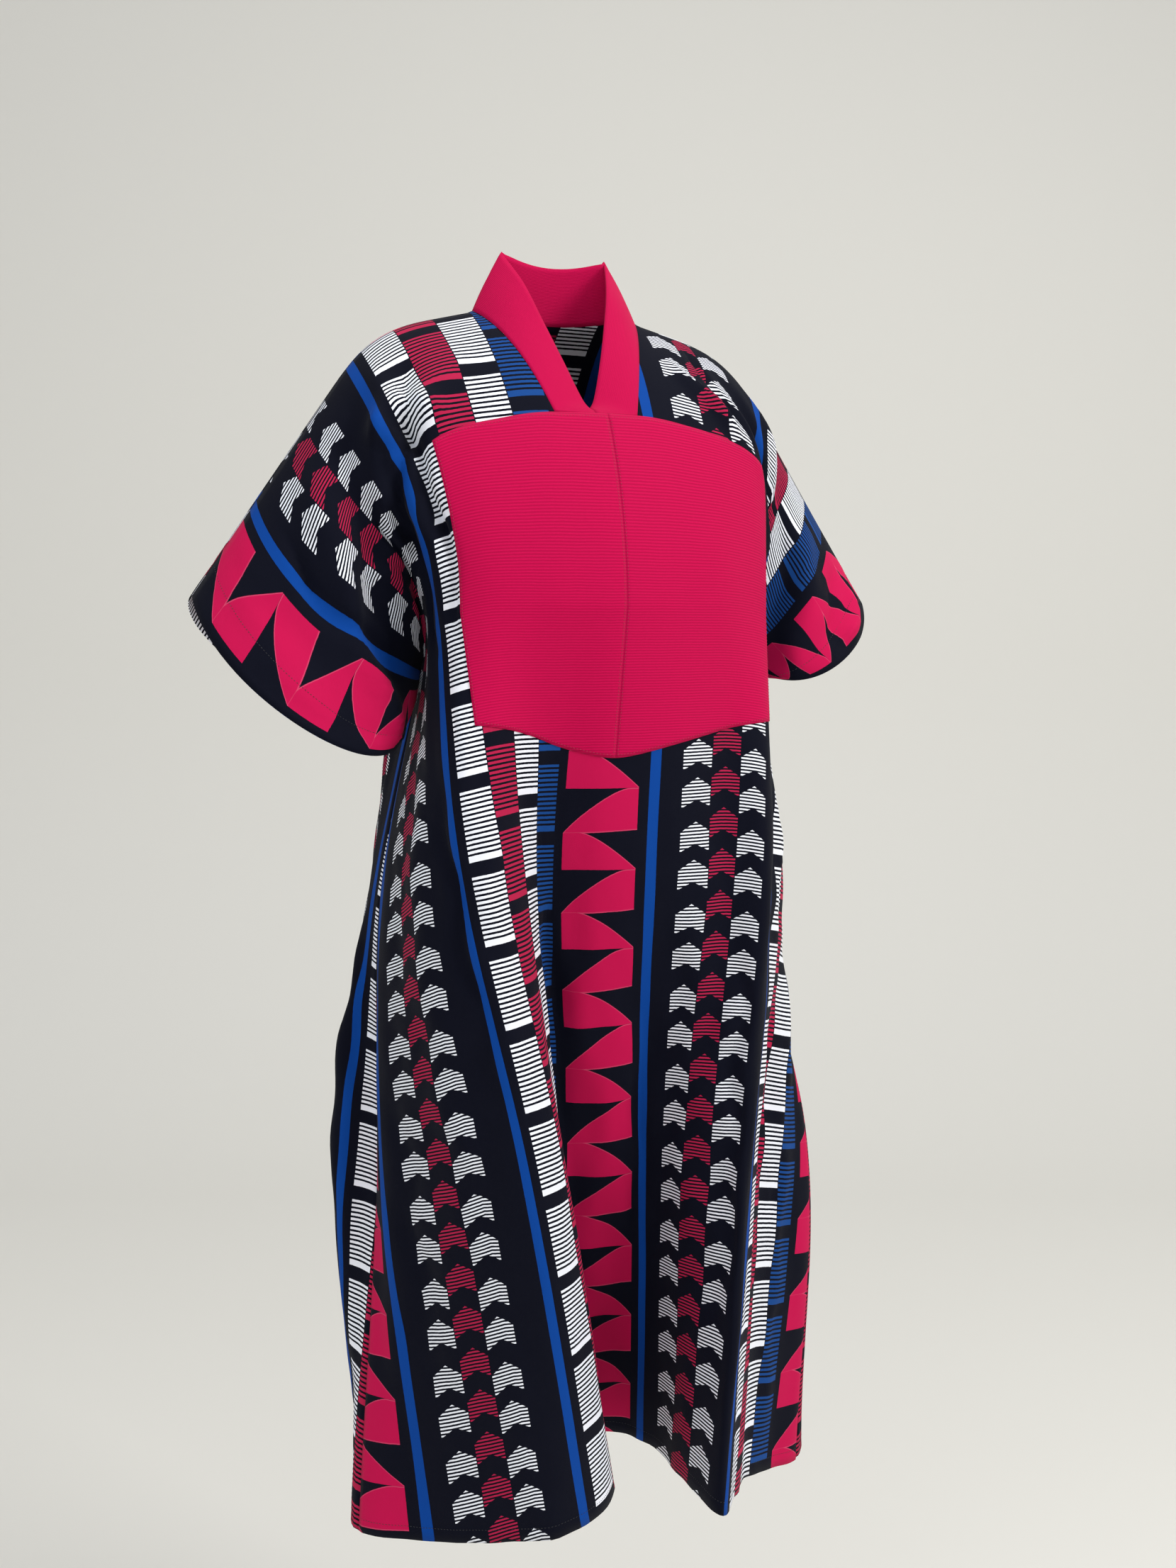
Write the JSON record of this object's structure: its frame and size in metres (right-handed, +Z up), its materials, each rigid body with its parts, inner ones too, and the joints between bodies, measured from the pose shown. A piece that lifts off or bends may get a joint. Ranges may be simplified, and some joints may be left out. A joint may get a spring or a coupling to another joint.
{
  "type": "boubou robe",
  "caption": "Loose printed cotton robe with short kimono sleeves, a ribbed bib and a standing band collar, hanging hollow in its worn pose.",
  "frame": {"origin": "between the shoulders at the height of the neck base, on the centre line of the neck opening", "axes": "+Z up, -Y the way the wearer faces, +X the wearer's left"},
  "size_m": [0.7318, 0.3554, 1.2561],
  "materials": {
    "front_print": "matte printed cotton",
    "back_print": "matte printed cotton",
    "collar_cloth": "matte plain cotton",
    "bib_right_cloth": "matte ribbed cotton",
    "bib_left_cloth": "matte ribbed cotton"
  },
  "bodies": {
    "root": {"front_panel": "front_print", "back_panel": "back_print", "collar_band": "collar_cloth", "bib_right_half": "bib_right_cloth", "bib_left_half": "bib_left_cloth"}
  },
  "joints": []
}
